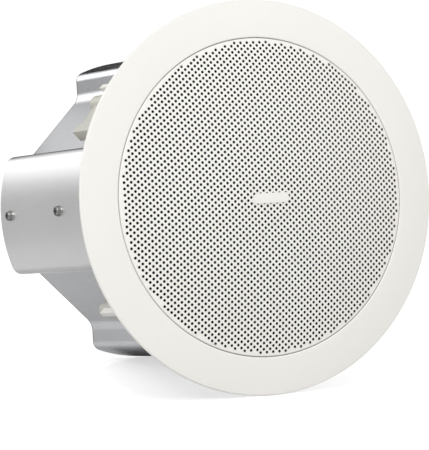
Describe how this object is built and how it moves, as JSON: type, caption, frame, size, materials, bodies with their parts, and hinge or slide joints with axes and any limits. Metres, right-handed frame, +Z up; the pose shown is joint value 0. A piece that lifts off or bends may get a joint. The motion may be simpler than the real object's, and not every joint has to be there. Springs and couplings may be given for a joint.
{
  "type": "in ceiling speaker",
  "caption": "Round recessed ceiling speaker: white domed perforated grille in a trim ring, lobed steel back can with wiring cover, and swing-out clamps that grip the ceiling panel.",
  "frame": {"origin": "centre of the trim ring's ceiling face, on the speaker's axis", "axes": "+Y runs backwards along the speaker's axis into the ceiling void, -Y is the way the grille faces, +Z is up as pictured and +X is to the right seen from the front"},
  "size_m": [0.192, 0.1599, 0.192],
  "materials": {
    "ring_moulding": "white moulded plastic, fine satin",
    "grille_paint": "white powder coat on perforated steel",
    "can_steel": "bright zinc-plated sheet",
    "plate_steel": "zinc-plated sheet with dark sheared edges",
    "cover_steel": "bright zinc-plated sheet, faintly brushed",
    "clamp_plastic": "pale cream moulded plastic",
    "screw_steel": "zinc-plated screw steel",
    "brass": "turned brass",
    "black_cloth": "black acoustic cloth",
    "magnet_nickel": "nickel-plated magnet",
    "rubber": "soft black rubber",
    "foam": "dark grey damping foam",
    "basket_paint": "black painted pressed steel",
    "cone_paper": "dark coated paper",
    "spider_cloth": "resin-dipped cotton",
    "polyimide": "amber coil former",
    "copper": "enamelled copper wire",
    "plated_iron": "zinc-plated iron",
    "ferrite": "dark grey ferrite",
    "black_plastic": "black moulded plastic",
    "dome_silk": "coated silk dome",
    "board": "green circuit board",
    "core_steel": "stacked lamination steel",
    "coil_tape": "yellow insulating tape",
    "capacitor_film": "red film capacitor sleeve",
    "ceramic": "white ceramic resistor body",
    "connector_green": "green connector plastic",
    "lead_red": "red lead insulation",
    "lead_black": "black lead insulation"
  },
  "bodies": {
    "speaker": {"front_baffle": "ring_moulding", "grille": "grille_paint", "grille_cloth": "black_cloth", "badge": "grille_paint", "grille_magnets": "magnet_nickel", "back_can": "can_steel", "rear_plate": "plate_steel", "terminal_cover": "cover_steel", "cover_posts": "screw_steel", "cover_screws": "screw_steel", "cable_grommet": "rubber", "safety_eye": "can_steel", "can_screws": "screw_steel", "can_lining": "foam", "driver_gasket": "rubber", "basket": "basket_paint", "driver_screws": "screw_steel", "surround": "rubber", "spider": "spider_cloth", "top_plate": "plated_iron", "ferrite_ring": "ferrite", "yoke": "plated_iron", "driver_strip": "black_plastic", "tweeter_stem": "black_plastic", "tweeter_housing": "black_plastic", "tweeter_magnet": "magnet_nickel", "tweeter_dome": "dome_silk", "tap_switch": "black_plastic", "transformer_core": "core_steel", "transformer_coil": "coil_tape", "transformer_bracket": "can_steel", "crossover_board": "board", "board_spacers": "ceramic", "crossover_inductor": "copper", "crossover_capacitor": "capacitor_film", "crossover_resistor": "ceramic", "connector_socket": "connector_green", "connector_plug": "connector_green", "driver_lead": "lead_red", "input_lead": "lead_black", "transformer_lead": "lead_red"},
    "cone": {"woofer_cone": "cone_paper", "voice_coil_former": "polyimide", "voice_coil_winding": "copper"},
    "selector_knob": {"tap_knob": "black_plastic"},
    "clamp_1_screw": {"clamp_screw_1": "screw_steel"},
    "clamp_1_nut": {"clamp_nut_1": "brass"},
    "clamp_1_arm": {"clamp_arm_1": "clamp_plastic"},
    "clamp_2_screw": {"clamp_screw_2": "screw_steel"},
    "clamp_2_nut": {"clamp_nut_2": "brass"},
    "clamp_2_arm": {"clamp_arm_2": "clamp_plastic"},
    "clamp_3_screw": {"clamp_screw_3": "screw_steel"},
    "clamp_3_nut": {"clamp_nut_3": "brass"},
    "clamp_3_arm": {"clamp_arm_3": "clamp_plastic"},
    "clamp_4_screw": {"clamp_screw_4": "screw_steel"},
    "clamp_4_nut": {"clamp_nut_4": "brass"},
    "clamp_4_arm": {"clamp_arm_4": "clamp_plastic"}
  },
  "joints": [
    {"name": "cone_travel", "type": "slide", "parent": "speaker", "child": "cone", "axis": [0, -1, 0], "range_m": [-0.003, 0.003], "stiffness_N_per_m": 1000, "deforming": ["surround", "spider"]},
    {"name": "selector_turn", "type": "hinge", "parent": "speaker", "child": "selector_knob", "pos_m": [0, -0.002, -0.066], "axis": [0, 1, 0], "range_deg": [-120, 120]},
    {"name": "clamp_1_screw_turn", "type": "hinge", "parent": "speaker", "child": "clamp_1_screw", "pos_m": [0.05197, 0, 0.04983], "axis": [0, 1, 0], "range_deg": [0, 4320]},
    {"name": "clamp_1_travel", "type": "slide", "parent": "speaker", "child": "clamp_1_nut", "axis": [0, -1, 0], "range_m": [0, 0.03]},
    {"name": "clamp_1_swing", "type": "hinge", "parent": "clamp_1_nut", "child": "clamp_1_arm", "pos_m": [0.05197, 0.062, 0.04983], "axis": [0, 1, 0], "range_deg": [0, 93]},
    {"name": "clamp_2_screw_turn", "type": "hinge", "parent": "speaker", "child": "clamp_2_screw", "pos_m": [-0.04983, 0, 0.05197], "axis": [0, 1, 0], "range_deg": [0, 4320]},
    {"name": "clamp_2_travel", "type": "slide", "parent": "speaker", "child": "clamp_2_nut", "axis": [0, -1, 0], "range_m": [0, 0.03]},
    {"name": "clamp_2_swing", "type": "hinge", "parent": "clamp_2_nut", "child": "clamp_2_arm", "pos_m": [-0.04983, 0.062, 0.05197], "axis": [0, 1, 0], "range_deg": [0, 93]},
    {"name": "clamp_3_screw_turn", "type": "hinge", "parent": "speaker", "child": "clamp_3_screw", "pos_m": [-0.05197, 0, -0.04983], "axis": [0, 1, 0], "range_deg": [0, 4320]},
    {"name": "clamp_3_travel", "type": "slide", "parent": "speaker", "child": "clamp_3_nut", "axis": [0, -1, 0], "range_m": [0, 0.03]},
    {"name": "clamp_3_swing", "type": "hinge", "parent": "clamp_3_nut", "child": "clamp_3_arm", "pos_m": [-0.05197, 0.062, -0.04983], "axis": [0, 1, 0], "range_deg": [0, 93]},
    {"name": "clamp_4_screw_turn", "type": "hinge", "parent": "speaker", "child": "clamp_4_screw", "pos_m": [0.04983, 0, -0.05197], "axis": [0, 1, 0], "range_deg": [0, 4320]},
    {"name": "clamp_4_travel", "type": "slide", "parent": "speaker", "child": "clamp_4_nut", "axis": [0, -1, 0], "range_m": [0, 0.03]},
    {"name": "clamp_4_swing", "type": "hinge", "parent": "clamp_4_nut", "child": "clamp_4_arm", "pos_m": [0.04983, 0.062, -0.05197], "axis": [0, 1, 0], "range_deg": [0, 93]}
  ],
  "couplings": [
    {"joint": "clamp_1_screw_turn", "follows": "clamp_1_travel", "rad_per_m": 2513.3},
    {"joint": "clamp_2_screw_turn", "follows": "clamp_2_travel", "rad_per_m": 2513.3},
    {"joint": "clamp_3_screw_turn", "follows": "clamp_3_travel", "rad_per_m": 2513.3},
    {"joint": "clamp_4_screw_turn", "follows": "clamp_4_travel", "rad_per_m": 2513.3}
  ]
}
